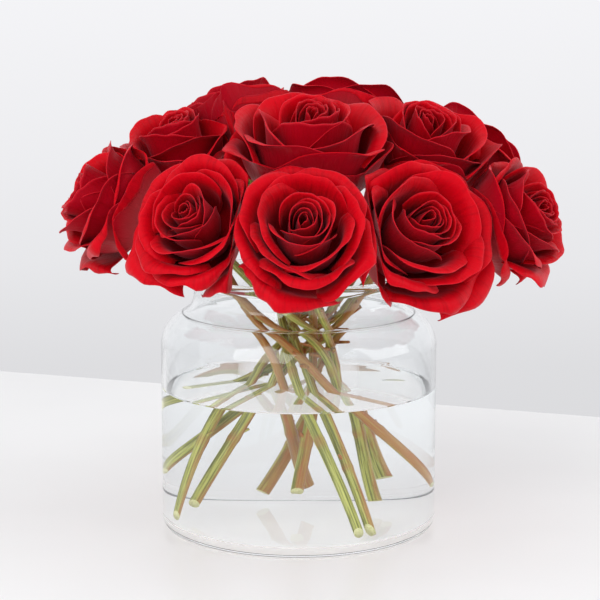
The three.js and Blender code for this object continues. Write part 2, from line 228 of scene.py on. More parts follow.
# The stem's line below the bloom, in millimetres. Its knots stand at even steps of its length, each moved by
# luck, and leaf stalks stand where the stems cross. The finish's pattern repeats over MARK_LENGTH along the
# stem and over MARK_SPREAD elsewhere.
STEM_SUNK = 5
STEM_NECK = 10
RIM_ROOM = 50
RIM_HEIGHT = 155
STEM_SIDES = 20
STEM_POINTS = 72
LINE_STEPS = 40
STEM_TAPER = (0.92, 1.08)
KNOTS = 3
KNOT_START = 0.2
KNOT_STEP = 0.25
KNOT_LUCK = 0.12
KNOT_LENGTH = 2.6
KNOT_SWELL = 0.14
MARK_LENGTH = 10
MARK_SPREAD = 5
CUT_SLANT = (35, 55)
CUT_SIDEWAYS = (-0.8, 0.8)
CUT_RISE = 0.3
CROSSING = (98, 128)
STALKS = 3
STALK_HEIGHT = (7, 13)
STALK_LEAN = (22, 50)
STALK_RADII = (1.5, 1.0)
PRICKLES = 4
PRICKLE_PLACES = (0.15, 0.9)

# Stubs, by the radii of the foot and tip, the height and the lean, and how they differ from the stem
KNOT_STUB = (1.25, 0.75, 5.5, 35)
PRICKLE = (0.85, 0.1, 2.2, 75)
STUB_SIDES = 9
STUB_SUNK = 1.2
STUB_KNOT = 0.5
STUB_BLUSH = 0.3

# The hip, as [radius, height] from the bloom's base, and the sepals, which spring from SEPAL_ROOT, turn back
# through an angle between the two in SEPAL_BEND, and have small lobes
HIP_LENGTH = 12
HIP_PROFILE = [
    (0, -12.4), (2.3, -12), (3.0, -11), (4.4, -8.6), (5.6, -5.6), (5.7, -3.4), (4.9, -0.6), (0, -0.3)
]
HIP_SIDES = 24
SEPAL_COUNT = 5
SEPAL_ROOT = (2.8, -5.5)
SEPAL_LENGTH = 25
SEPAL_BEND = (88, 162)
SEPAL_GRID = (6, 14)
SEPAL_HALF_THICK = 0.32
SEPAL_HALF_WIDTH = 2.7
SEPAL_THREAD = (0.3, 0.16)
SEPAL_TAPER = 1.35
SEPAL_SWELL = 0.35
SEPAL_THINNING = (0.6, 0.75)
SEPAL_BLUSH = 0.35
SEPAL_SWAY = 3.6
SEPAL_CUP = 0.5
LOBE_START = 0.2
LOBE_WAVES = 21
LOBE_SIZE = 0.45


def chance(a, b):
    """A repeatable number from 0 to 1 for each pair of whole numbers."""
    s = math.sin(a * 12.9898 + b * 78.233) * 43758.5453
    return s - math.floor(s)


def mix(a, b, share):
    return a + (b - a) * share


def smooth_step(x, low, high):
    t = np.clip((x - low) / (high - low), 0, 1)
    return t * t * (3 - 2 * t)


def arc(centre, rx, rz, a, b, steps):
    """Part of an ellipse from angle a to b, in degrees, as (radius, height) points."""
    angles = [math.radians(mix(a, b, i / steps)) for i in range(steps + 1)]
    return [(centre[0] + rx * math.cos(t), centre[1] + rz * math.sin(t)) for t in angles]


# Settings


def length(name, description, default):
    return bpy.props.FloatProperty(
        name=name, description=description, default=default, min=0, subtype="DISTANCE", unit="LENGTH"
    )


def colour(name, description, default):
    return bpy.props.FloatVectorProperty(
        name=name, description=description, default=default, size=3, min=0, max=1, subtype="COLOR"
    )


class VaseSettings(bpy.types.PropertyGroup):
    """The glass and the water in it."""

    radius: length("Radius", "Outside radius of the straight side", VASE_HIGH.x)
    height: length("Height", "Height of the rim", VASE_HIGH.z)
    neck: length("Neck", "Outside radius of the neck", 0.0625)
    wall: length("Wall", "Thickness of the glass", 0.0028)
    floor: length("Floor", "Thickness of the floor", 0.007)
    water_level: length("Water level", "Height of the water", WATER_HIGH.z)
    meniscus: length("Meniscus", "How far the water climbs the glass", 0.0013)
    glass_tint: colour("Glass tint", "Colour of the glass", (0.985, 0.997, 1.0))
    water_tint: colour("Water tint", "Colour of the water", (0.985, 0.996, 1.0))


class BloomSettings(bpy.types.PropertyGroup):
    """The roses' petals."""

    petals: bpy.props.IntProperty(
        name="Petals", description="Places in each bloom's spiral of petals", default=30, min=20, max=40
    )
    thickness: length("Thickness", "Thickness of a petal", 0.00036)
    ripple: length("Ripple", "How much the lips ripple", 0.0008)
    lit: colour("Petal", "Colour of the open face of a petal", (0.62, 0.0008, 0.008))
    # The deep colour is painted shade in the heart and at each petal's root, and also darkens veins, patches
    # and some petals at random
    deep: colour("Deep", "Colour of the heart and of each petal's root", (0.28, 0.0004, 0.004))
    back: colour("Back", "Colour of the back of a petal", (0.38, 0.001, 0.01))
    # The edge colour is a painted highlight, a thin lighter line along the lip
    edge: colour("Edge", "Colour of the thin edge of the lip", (0.85, 0.02, 0.035))
    foot: colour("Foot", "Colour of an outer petal's back near its root", (0.55, 0.07, 0.08))


class StemSettings(bpy.types.PropertyGroup):
    """The stems, hips and sepals."""

    radius: length("Radius", "Radius of a stem", 0.0026)
    green: colour("Green", "Colour of a stem in shade", (0.14, 0.155, 0.018))
    pale: colour("Pale green", "Colour of a stem on its light side", (0.44, 0.46, 0.1))
    brown: colour("Blush", "Colour of the blush on a stem", (0.37, 0.13, 0.035))
    pith: colour("Pith", "Colour of a cut end", (0.72, 0.7, 0.42))
    sepal: colour("Sepal", "Colour of the hips and sepals", (0.09, 0.15, 0.02))


class StageSettings(bpy.types.PropertyGroup):
    """The table, the light and the camera."""

    table: colour("Table", "Colour of the table", (0.87, 0.87, 0.865))
    key: bpy.props.FloatProperty(
        name="Key light", description="Power of the large soft light", default=17, min=0, unit="POWER"
    )
    eye_distance: length("Distance", "How far in front of the vase the camera stands", 1.2)
    tilt: bpy.props.FloatProperty(
        name="Tilt", description="How far down the camera looks", default=math.radians(9.8), subtype="ANGLE"
    )


# Pieces and their materials


def piece(name, bm, materials, nodes):
    """Makes the finished piece of a bmesh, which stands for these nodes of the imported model."""
    for face in bm.faces:
        face.smooth = True
    mesh = bpy.data.meshes.new(name)
    bm.to_mesh(mesh)
    bm.free()
    for material in materials:
        mesh.materials.append(material)
    made = bpy.data.objects.new(name, mesh)
    bpy.context.scene.collection.objects.link(made)
    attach(made, "root")
    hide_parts(*nodes)
    return made


def held(profile):
    """The profile with a point close to the ends of its long straights, so that they are shaded flat."""
    points = [Vector(point) for point in profile]
    made = [points[0]]
    for a, b in zip(points, points[1:]):
        if (b - a).length > LONG_STRAIGHT * MM:
            step = (b - a).normalized() * HOLD * MM
            made += [a + step, b - step]
        made.append(b)
    return made


def spun(profile):
    """A bmesh of a closed profile of (radius, height) points in metres, spun round +Z."""
    bm = bmesh.new()
    spots = [bm.verts.new((r, 0, z)) for r, z in held(profile)]
    edges = [bm.edges.new(pair) for pair in zip(spots, spots[1:])]
    bmesh.ops.spin(
        bm, geom=spots + edges, cent=(0, 0, 0), axis=(0, 0, 1), angle=2 * math.pi, steps=ROUND_STEPS,
        use_merge=True,
    )
    bmesh.ops.remove_doubles(bm, verts=bm.verts, dist=1e-6)
    bmesh.ops.recalc_face_normals(bm, faces=bm.faces)
    return bm


class Finish:
    """A material and short ways to add nodes to it."""

    def __init__(self, name):
        self.material = bpy.data.materials.new(name)
        self.material.use_nodes = True
        self.tree = self.material.node_tree
        self.tree.nodes.clear()
        self.shader = self.node("ShaderNodeBsdfPrincipled")
        self.output = self.node("ShaderNodeOutputMaterial")
        self.link(self.shader.outputs["BSDF"], self.output.inputs["Surface"])

    def node(self, kind, **settings):
        made = self.tree.nodes.new(kind)
        for key, value in settings.items():
            setattr(made, key, value)
        return made

    def link(self, source, target):
        self.tree.links.new(source, target)

    def put(self, value, socket):
        """Sets a socket to a number or colour, or links it to another socket."""
        if isinstance(value, bpy.types.NodeSocket):
            self.link(value, socket)
        elif socket.type == "RGBA" and len(value) == 3:
            socket.default_value = (*value, 1)
        else:
            socket.default_value = value

    def math(self, operation, a, b=0.0):
        made = self.node("ShaderNodeMath", operation=operation)
        self.put(a, made.inputs[0])
        self.put(b, made.inputs[1])
        return made.outputs[0]

    def blend(self, share, a, b):
        made = self.node("ShaderNodeMix", data_type="RGBA")
        self.put(share, made.inputs["Factor"])
        self.put(a, made.inputs[6])
        self.put(b, made.inputs[7])
        return made.outputs[2]

    def span(self, value, low, high, to_low=0.0, to_high=1.0):
        made = self.node("ShaderNodeMapRange", interpolation_type="SMOOTHSTEP")
        self.put(value, made.inputs["Value"])
        for name, number in zip(("From Min", "From Max", "To Min", "To Max"), (low, high, to_low, to_high)):
            made.inputs[name].default_value = number
        return made.outputs["Result"]

    def attribute(self, name, output="Fac"):
        return self.node("ShaderNodeAttribute", attribute_name=name).outputs[output]

    def split(self, vector):
        made = self.node("ShaderNodeSeparateXYZ")
        self.link(vector, made.inputs[0])
        return made.outputs

    def join(self, x, y, z):
        made = self.node("ShaderNodeCombineXYZ")
        for value, socket in zip((x, y, z), made.inputs):
            self.put(value, socket)
        return made.outputs[0]

    def noise(self, vector, scale, detail=3.0, roughness=0.5):
        made = self.node("ShaderNodeTexNoise")
        self.link(vector, made.inputs["Vector"])
        for name, number in (("Scale", scale), ("Detail", detail), ("Roughness", roughness)):
            made.inputs[name].default_value = number
        return made.outputs["Fac"]

    def bump(self, height, distance, strength):
        made = self.node("ShaderNodeBump")
        self.link(height, made.inputs["Height"])
        made.inputs["Distance"].default_value = distance
        made.inputs["Strength"].default_value = strength
        self.link(made.outputs["Normal"], self.shader.inputs["Normal"])

    def set(self, **values):
        for name, value in values.items():
            self.put(value, self.shader.inputs[name.replace("_", " ")])


def clear_finish(name, tint, ior, gather=1.0):
    """Glass or water, which lets the light on what is in or under it straight through, times gather."""
    finish = Finish(name)
    finish.set(Base_Color=tint, Transmission_Weight=1.0, IOR=ior, Roughness=0.0)
    see_through = finish.node("ShaderNodeBsdfTransparent")
    see_through.inputs["Color"].default_value = (gather, gather, gather, 1)
    path = finish.node("ShaderNodeLightPath")
    both = finish.node("ShaderNodeMixShader")
    soft_light_ray = finish.math("MAXIMUM", path.outputs["Is Shadow Ray"], path.outputs["Is Diffuse Ray"])
    finish.link(soft_light_ray, both.inputs["Fac"])
    finish.link(finish.shader.outputs["BSDF"], both.inputs[1])
    finish.link(see_through.outputs["BSDF"], both.inputs[2])
    finish.link(both.outputs["Shader"], finish.output.inputs["Surface"])
    return finish.material


# The vase


def vase_profile(settings):
    """The section of the glass, from the middle of its base round the rim to the middle of its floor."""
    radius, top, neck = settings.radius / MM, settings.height / MM, settings.neck / MM
    wall, floor = settings.wall / MM, settings.floor / MM
    throat = neck - wall
    inner = radius - wall
    shoulder = (radius - SHOULDER[0], SHOULDER_HEIGHT)
    fillet = (neck + FILLET, FILLET_HEIGHT)
    corner = (inner - FLOOR_CORNER, floor + FLOOR_CORNER)
    outside = [
        (0, 0),
        *arc((radius - FOOT, FOOT), FOOT, FOOT, -90, 0, FOOT_STEPS),
        *arc(shoulder, *SHOULDER, 0, SHOULDER_END, FINE_STEPS),
        *arc(fillet, FILLET, FILLET, FILLET_START, 180, FINE_STEPS),
        *((neck + out, top - down) for out, down in BEAD_NECK),
        *arc((neck - BEAD_SET, top - BEAD[1]), *BEAD, *BEAD_ARC, BEAD_STEPS),
    ]
    inside = [
        *arc((throat + LIP_SET, top - LIP[1]), *LIP, *LIP_ARC, LIP_STEPS),
        (throat, top - LIP_END),
        *arc(fillet, FILLET + wall, FILLET + wall, 180, FILLET_START, FINE_STEPS),
        *arc(shoulder, SHOULDER[0] - wall, SHOULDER[1] - wall, SHOULDER_END, 0, FINE_STEPS),
        (inner, (settings.water_level + settings.meniscus) / MM),
        *arc(corner, FLOOR_CORNER, FLOOR_CORNER, 0, -90, CORNER_STEPS),
        *((r, floor + rise) for r, rise in FLOOR_RISE),
    ]
    return [(r * MM, z * MM) for r, z in outside + inside]


class ROSES_OT_vase(bpy.types.Operator):
    """Makes the clear glass vase"""

    bl_idname = "roses.vase"
    bl_label = "Vase"

    def execute(self, context):
        settings = context.scene.roses_vase
        bm = spun(vase_profile(settings))
        brim = settings.water_level + settings.meniscus
        inner = settings.radius - settings.wall / 2
        for face in bm.faces:
            x, y, z = face.calc_center_median()
            face.material_index = int(settings.floor - MM < z < brim and math.hypot(x, y) < inner)
        glass = clear_finish("clear_glass", settings.glass_tint, GLASS_IOR)
        wet_glass = clear_finish("wet_glass", settings.glass_tint, GLASS_IOR / WATER_IOR)
        piece("glass_vase", bm, [glass, wet_glass], ["vase"])
        return {"FINISHED"}


class ROSES_OT_water(bpy.types.Operator):
    """Makes the water, whose sides let light pass straight on into the wet glass"""

    bl_idname = "roses.water"
    bl_label = "Water"

    def execute(self, context):
        settings = context.scene.roses_vase
        inner = settings.radius - settings.wall - WATER_CLEAR * MM
        low, level, climb = settings.floor + WATER_CLEAR * MM, settings.water_level, settings.meniscus
        round_in = FLOOR_CORNER * MM
        bed = [(r * MM, low + rise * MM) for r, rise in reversed(FLOOR_RISE)]
        corner = arc((inner - round_in, low + round_in), round_in, round_in, -90, 0, CORNER_STEPS)
        rim = [(inner - back * MM, level + share * climb) for back, share in MENISCUS]
        bm = spun([*bed, *corner, *rim, (0, level)])
        for face in bm.faces:
            face.material_index = int(face.calc_center_median().z < level - MM or abs(face.normal.z) < 0.01)
        top = clear_finish("clear_water", settings.water_tint, WATER_IOR, LIGHT_GATHERED)
        side = clear_finish("water_on_glass", settings.water_tint, 1.0, LIGHT_GATHERED)
        piece("vase_water", bm, [top, side], ["water"])
        return {"FINISHED"}


# The blooms


def bloom_axes(rose):
    """The bloom's receptacle, and its three directions as the rows side, up and axis."""
    azimuth, elevation = map(math.radians, rose.looks)
    level = math.cos(elevation)
    axis = np.array([level * math.cos(azimuth), level * math.sin(azimuth), math.sin(elevation)])
    side = np.array([-math.sin(azimuth), math.cos(azimuth), 0])
    base = np.array(rose.face) - axis * BLOOM_DEPTH * rose.size
    return base, np.array([side, np.cross(axis, side), axis])


def press_planes(rose):
    """The planes that keep a bloom's petals off its neighbours', as (point, normal)."""
    base = bloom_axes(rose)[0]
    planes = []
    for other in ROSES:
        if other is rose:
            continue
        share = rose.push / (rose.push + other.push)
        other_base = bloom_axes(other)[0]
        point = mix(np.array(rose.face), np.array(other.face), share)
        spine = point - mix(base, other_base, share)
        spine = spine / np.linalg.norm(spine)
        normal = np.array(other.face) - np.array(rose.face) + other_base - base
        normal = normal - spine * normal.dot(spine)
        planes.append((point, normal / np.linalg.norm(normal)))
    return planes


def pressed(points, planes):
    """Presses points back from each plane, so that they never come nearer than BLOOM_GAP."""
    for point, normal in planes:
        room = -(points - point) @ normal - BLOOM_GAP
        kept = PRESS_SOFTNESS * np.logaddexp(0, room / PRESS_SOFTNESS)
        points = points + np.outer(room - kept, normal)
    return points


def stage_at(share):
    after = next(i for i, stage in enumerate(STAGES) if i and stage["at"] >= share)
    a, b = STAGES[after - 1], STAGES[after]
    part = (share - a["at"]) / (b["at"] - a["at"])
    return {key: mix(np.array(a[key], float), np.array(b[key], float), part) for key in a}


def cubic(curve, coordinate, t):
    p, q, r, s = curve[:, coordinate]
    n = 1 - t
    return n * n * n * p + 3 * n * n * t * q + 3 * n * t * t * r + t * t * t * s


def petal_turn(rose, petal):
    return petal * PETAL_TURN + rose.spin + TURN_SPREAD * (chance(petal, rose.number - 1) - 0.5)


def tucked(rose, petal, petals, angle):
    """How far each spot is tucked behind the petals outside this one, from 0 to 1."""
    most = np.zeros_like(angle)
    for other in range(petal + 1, petals):
        apart = np.abs((angle - petal_turn(rose, other) + 180) % 360 - 180)
        wrap = stage_at(other / (petals - 1))["wrap"]
        most = np.maximum(most, 1 - smooth_step(apart, COVER[0] * wrap, COVER[1] * wrap))
    return most


def rolled(r, z, turn):
    """A petal's section from root to lip down the rows, with each step turned outwards by an angle."""
    bend = (turn[1:] + turn[:-1]) / 2
    dr, dz = np.diff(r, axis=0), np.diff(z, axis=0)
    out = dr * np.cos(bend) + dz * np.sin(bend)
    rise = dz * np.cos(bend) - dr * np.sin(bend)
    grown = ((r[:1], out), (z[:1], rise))
    return [np.concatenate([start, start + np.cumsum(steps, axis=0)]) for start, steps in grown]


def petal_reach(rose, share, luck, phase, u, v):
    """How far along its curve each spot of a petal lies, about 1 at the middle of its lip."""
    aside = np.abs(u)
    middle = POINT_ASIDE * (luck[1] - 0.5)
    point = share**3 * rose.point * luck[0] * np.exp(-(((u - middle) / POINT_WIDTH) ** 2))
    (deep, slow), (fine, fast) = RAGGED
    ragged = deep * share**2 * np.sin(slow * u + phase[2]) + fine * np.sin(fast * u + phase[3])
    outline = 1 + share**2 * (TIP_LENGTH - TIP_TAPER * aside**TAPER_POWER)
    outline = outline - (SHOULDER_DROP - OPEN_LIFT * share**2) * aside**3
    outline = outline * (1 + rose.loose * PETAL_UNEVEN * (luck[9] - 0.5) * share**2)
    return v * outline + (point + ragged) * v**5


def lip_roll(share, luck, phase, u, v):
    """How far the petal's section has turned outwards at each spot, in radians."""
    (fast_size, fast), (slow_size, slow) = ROLL_WAVES
    tightness = mix(*LIP_ROLL, share**ROLL_POWER) * mix(MIDDLE_ROLL, 1, np.abs(u) ** SIDE_POWER)
    tightness = tightness * mix(*ROLL_LUCK, luck[7])
    tightness = tightness * (
        1 + fast_size * np.sin(fast * u + phase[1]) + slow_size * np.sin(slow * u + phase[5])
    )
    return np.radians(tightness) * np.maximum(0, (v - ROLL_START) / (1 - ROLL_START)) ** ROLL_POWER


def petal_sheet(rose, petal, petals, ripple, u, v):
    """The middle surface of one petal in the bloom's own frame, with u from -1 to 1 and v from 0 to 1."""
    share = petal / (petals - 1)
    stage = stage_at(share)
    luck = [chance(petal + 100 * i, rose.number + 40) for i in range(12)]
    phase = [PHASE * number for number in luck]
    reach = petal_reach(rose, share, luck, phase, u, v)
    lip = np.maximum(0, (reach - LIP_START) / (1 - LIP_START))
    edge = np.maximum(0, (np.abs(u) - EDGE_START) / (1 - EDGE_START))
    width = mix(ROOT_WIDTH, 1, np.sin(math.pi / 2 * np.minimum(1, reach / WIDEST)))
    turn = petal_turn(rose, petal) + u * stage["wrap"] * width
    turn = turn + PETAL_SKEW * (luck[8] - 0.5) * (share * v) ** 2
    angle = np.radians(turn)
    roll = stage["edge"] * edge**2 * v * v * (1 - tucked(rose, petal, petals, turn))
    wave = PETAL_WAVE * share * v * v * np.sin(WAVES_ROUND * angle + WAVE_SHIFT * (rose.number - 1))
    fine = ripple * share**3 * v**5 * np.sin(mix(*RIPPLE_WAVES, luck[4]) * u + phase[5])
    crease = CREASE * share * v**2 * np.exp(-((u / CREASE_WIDTH) ** 2))
    lean = rose.loose * PETAL_LEAN * share**4 * (luck[6] - 0.5) * v * v
    fold = rose.loose * PETAL_FOLD * share**3 * (luck[10] - 0.5) * u * v**2
    crumple = rose.loose * CRUMPLE * share**2 * v**2
    for (across, along), start in zip(CRUMPLE_WAVES, phase[10:]):
        crumple = crumple * np.sin(across * u + along * v + start)
    r = cubic(stage["curve"], 0, reach) + stage["lip"] * lip**2 + roll + wave + fine + crease
    r = r + lean + fold + crumple
    z = cubic(stage["curve"], 1, reach) - LIP_DIP * stage["lip"] * lip**3
    z = z - EDGE_DIP * (roll + lean + fold) + crumple
    r, z = rolled(r, z, lip_roll(share, luck, phase, u, v))
    swell = mix(1, rose.spread, share**2) + BLOOM_OVAL * np.cos(2 * angle + OVAL_SHIFT * rose.number)
    swell = swell + HEART_LOBE * max(0, 1 - share / OPEN_FROM) * np.cos(LOBES * angle + z / LOBE_LEAN)
    shift = HEART_LEAN * (1 - share) * z / BLOOM_DEPTH
    x = r * swell * np.cos(angle) + shift * math.cos(LEAN_SHIFT * rose.number)
    y = r * swell * np.sin(angle) + shift * math.sin(LEAN_SHIFT * rose.number)
    return np.stack([x, y, z], axis=-1)


def bloom_mesh(rose, settings):
    """A bmesh of a bloom's petals as open sheets, their backs facing out."""
    bm = bmesh.new()
    bm.loops.layers.uv.new("petal")
    ring = bm.verts.layers.float.new("ring")
    seed = bm.verts.layers.float.new("seed")
    base, axes = bloom_axes(rose)
    planes = press_planes(rose)
    petals = settings.petals
    for petal in [*HEART_PETALS, *range(OUTER_START, petals)]:
        share = petal / (petals - 1)
        columns, rows = OPEN_GRID if share > OPEN_FROM else CLOSED_GRID
        grid = bmesh.ops.create_grid(bm, x_segments=columns, y_segments=rows, size=1, calc_uvs=True)
        sheet = grid["verts"]
        flat = np.array([vert.co for vert in sheet]).reshape(rows + 1, columns + 1, 3)
        v = 1 - np.clip(1 - (flat[..., 1] + 1) / 2, 0, 1) ** LIP_CROWDING
        points = petal_sheet(rose, petal, petals, settings.ripple / MM, flat[..., 0], v).reshape(-1, 3)
        points = pressed(base + rose.size * points @ axes, planes) * MM
        for vert, point in zip(sheet, points):
            vert.co = point
            vert[ring] = share
            vert[seed] = chance(petal, rose.number + 7)
    return bm


# How often a petal's veins repeat across it and along it, how far apart two petals' veins are, how deep and
# how strong they are, how much luck darkens a petal, and how much of the painted highlight shows along its
# thin edge
VEIN_SCALE = (30.0, 2.4, 60.0)
VEIN_BUMP = (0.0006, 0.7)
LUCK_TONE = 0.22
EDGE_HIGHLIGHT = 0.35


def petal_finish(name, settings, is_back):
    """Velvet red with fine veins, painted shade towards each petal's root and in the heart, and a painted
    highlight on the thin edge.
    """
    finish = Finish(name)
    uv = finish.node("ShaderNodeUVMap", uv_map="petal").outputs["UV"]
    across, along, _ = finish.split(uv)
    ring, seed = finish.attribute("ring"), finish.attribute("seed")
    place = finish.join(*(finish.math("MULTIPLY", *pair) for pair in zip((across, along, seed), VEIN_SCALE)))
    veins = finish.noise(place, 1.0, 4.0, 0.6)
    body = finish.node("ShaderNodeTexCoord").outputs["Object"]
    patches = finish.noise(body, 90.0, 2.0)
    main = settings.back if is_back else settings.lit
    # Painted shade: darker towards each petal's root and in the heart's petals, where shade falls; the
    # veins, patches and luck below add random tone
    depth = finish.math("MULTIPLY", finish.span(along, 0.15, 0.75), finish.span(ring, 0.0, 0.5, 0.55, 1.0))
    depth = finish.math("SUBTRACT", depth, finish.span(veins, 0.4, 0.75, 0.0, 0.35))
    depth = finish.math("SUBTRACT", depth, finish.span(patches, 0.4, 0.8, 0.0, 0.2))
    depth = finish.math("SUBTRACT", depth, finish.math("MULTIPLY", seed, LUCK_TONE))
    tone = finish.blend(finish.span(depth, 0.0, 0.95), settings.deep, main)
    if is_back:
        outer = finish.span(ring, 0.8, 0.95, 0.0, 0.8)
        low_down = finish.math("MULTIPLY", finish.span(along, 0.8, 0.2), outer)
        tone = finish.blend(low_down, tone, settings.foot)
    # Painted highlight: a thin lighter line along the lip and the side edges, standing in for the sheen that
    # catches there
    beside = finish.math("ABSOLUTE", finish.math("SUBTRACT", across, 0.5))
    rim = finish.math("MAXIMUM", finish.span(along, 0.955, 1.0), finish.span(beside, 0.48, 0.5))
    tone = finish.blend(finish.math("MULTIPLY", rim, EDGE_HIGHLIGHT), tone, settings.edge)
    finish.set(Base_Color=tone, Roughness=0.45)
    finish.set(Sheen_Weight=0.14, Sheen_Roughness=0.4, Sheen_Tint=(1.0, 0.35, 0.45))
    finish.set(Specular_IOR_Level=0.22, Specular_Tint=(1.0, 0.25, 0.3))
    finish.set(Subsurface_Weight=0.12, Subsurface_Radius=(1.0, 0.12, 0.1), Subsurface_Scale=0.0022)
    finish.bump(veins, *VEIN_BUMP)
    return finish.material


class ROSES_OT_blooms(bpy.types.Operator):
    """Makes the twelve blooms"""

    bl_idname = "roses.blooms"
    bl_label = "Blooms"

    def execute(self, context):
        settings = context.scene.roses_blooms
        materials = [petal_finish(f"petal_{side}", settings, side == "back") for side in ("back", "face")]
        for rose in ROSES:
            name = f"{rose.number:02d}"
            bm = bloom_mesh(rose, settings)
            bloom = piece(f"rose_{name}", bm, materials, [f"bloom_{name}"])
            blade = bloom.modifiers.new("petal thickness", "SOLIDIFY")
            blade.thickness = settings.thickness
            blade.offset = 0
            blade.material_offset = 1
        return {"FINISHED"}


# The stems


def stem_line(rose, count):
    """Evenly spaced points on a stem's line, from inside the hip to the cut end."""
    base, axes = bloom_axes(rose)
    azimuth, radius, height = rose.passing
    azimuth = math.radians(azimuth)
    hip_end = base + axes[2] * (STEM_SUNK - HIP_LENGTH)
    neck = hip_end - axes[2] * STEM_NECK
    passing = np.array([radius * math.cos(azimuth), radius * math.sin(azimuth), height])
    rim = mix(neck, passing, (neck[2] - RIM_HEIGHT) / (neck[2] - height))
    rim[:2] *= min(1, RIM_ROOM / math.hypot(rim[0], rim[1]))
    end = np.array(rose.end, float)
    points = [hip_end, neck, rim, passing, end]
    points = [2 * points[0] - points[1], *points, 2 * points[-1] - points[-2]]
    line = []
    for a, b, c, d in zip(points, points[1:], points[2:], points[3:]):
        ab, bc, cd = (math.sqrt(np.linalg.norm(q - p)) for p, q in ((a, b), (b, c), (c, d)))
        leave = ((b - a) / ab - (c - a) / (ab + bc) + (c - b) / bc) * bc
        arrive = ((c - b) / bc - (d - b) / (bc + cd) + (d - c) / cd) * bc
        for t in np.linspace(0, 1, LINE_STEPS, endpoint=False):
            line.append(
                b + leave * t
                + (3 * (c - b) - 2 * leave - arrive) * t * t
                + (2 * (b - c) + leave + arrive) * t * t * t
            )
    line = np.array([*line, end])
    walked = np.concatenate([[0], np.cumsum(np.linalg.norm(np.diff(line, axis=0), axis=1))])
    even = np.linspace(0, walked[-1], count)
    return np.stack([np.interp(even, walked, line[:, i]) for i in range(3)], axis=1), even


def stem_frames(line, radii):
    """A matrix for each point, which sets a ring of radius 1 square across the line with no twist."""
    frames = []
    across = Vector((1, 0, 0))
    for i, (spot, radius) in enumerate(zip(line, radii)):
        ahead = Vector(line[min(i + 1, len(line) - 1)] - line[max(i - 1, 0)]).normalized()
        across = (across - ahead * across.dot(ahead)).normalized()
        turned = Matrix((across, ahead.cross(across), ahead)).transposed().to_4x4()
        frames.append(Matrix.Translation(Vector(spot) * MM) @ turned @ Matrix.Scale(radius * MM, 4))
    return frames


def mark(verts, layers, straight, knot=0.0, blush=0.0):
    """Notes on each vert what the finish reads: its place on the unbent stem, knots and blush."""
    for vert in verts:
        vert[layers["straight"]] = straight(vert)
        vert[layers["knot"]] = knot
        vert[layers["blush"]] = blush


def of_kind(kind, parts):
    return [part for part in parts if isinstance(part, kind)]


def add_stem(bm, rose, settings, layers):
    """The round stem with its knots and slanting cut; gives its frames and the knots' places along it."""
    line, walked = stem_line(rose, STEM_POINTS)
    total = walked[-1]
    knots = [
        total * (KNOT_START + KNOT_STEP * i + KNOT_LUCK * chance(i, rose.number + 20)) for i in range(KNOTS)
    ]
    swell = sum(np.exp(-(((walked - knot) / KNOT_LENGTH) ** 2)) for knot in knots)
    radii = settings.radius / MM * (mix(*STEM_TAPER, walked / total) + KNOT_SWELL * swell)
    frames = stem_frames(line, radii)
    circle = bmesh.ops.create_circle(bm, cap_ends=True, radius=1, segments=STEM_SIDES, matrix=frames[0])
    ring = circle["verts"]
    edges = list({edge for vert in ring for edge in vert.link_edges})
    spin = {vert: 2 * math.pi * i / STEM_SIDES for i, vert in enumerate(ring)}
    made = list(ring)
    mark(ring, layers, lambda vert: (math.cos(spin[vert]), math.sin(spin[vert]), 0), 0, rose.blush)
    for i in range(1, STEM_POINTS):
        grown = bmesh.ops.extrude_edge_only(bm, edges=edges)["geom"]
        fresh = of_kind(bmesh.types.BMVert, grown)
        bmesh.ops.transform(bm, matrix=frames[i] @ frames[i - 1].inverted(), verts=fresh)
        edges = [edge for edge in of_kind(bmesh.types.BMEdge, grown) if all(v in fresh for v in edge.verts)]
        home = frames[i].inverted()
        knot = float(min(1, swell[i]))
        mark(fresh, layers, lambda vert: (*(home @ vert.co)[:2], walked[i] / MARK_LENGTH), knot, rose.blush)
        made += fresh
    bmesh.ops.edgeloop_fill(bm, edges=edges)
    slant = frames[-1].to_3x3().col[2].normalized()
    hinge = slant.cross(Vector((mix(*CUT_SIDEWAYS, chance(2, rose.number)), -1, CUT_RISE)))
    slant.rotate(Matrix.Rotation(math.radians(mix(*CUT_SLANT, chance(1, rose.number))), 3, hinge))
    body = [*made, *{edge for vert in made for edge in vert.link_edges}]
    body += list({face for vert in made for face in vert.link_faces})
    middle = frames[-2].translation
    cut = bmesh.ops.bisect_plane(bm, geom=body, plane_co=middle, plane_no=slant, clear_outer=True)
    bmesh.ops.edgeloop_fill(bm, edges=of_kind(bmesh.types.BMEdge, cut["geom_cut"]), mat_nr=2)
    return frames, [knot / total for knot in knots]


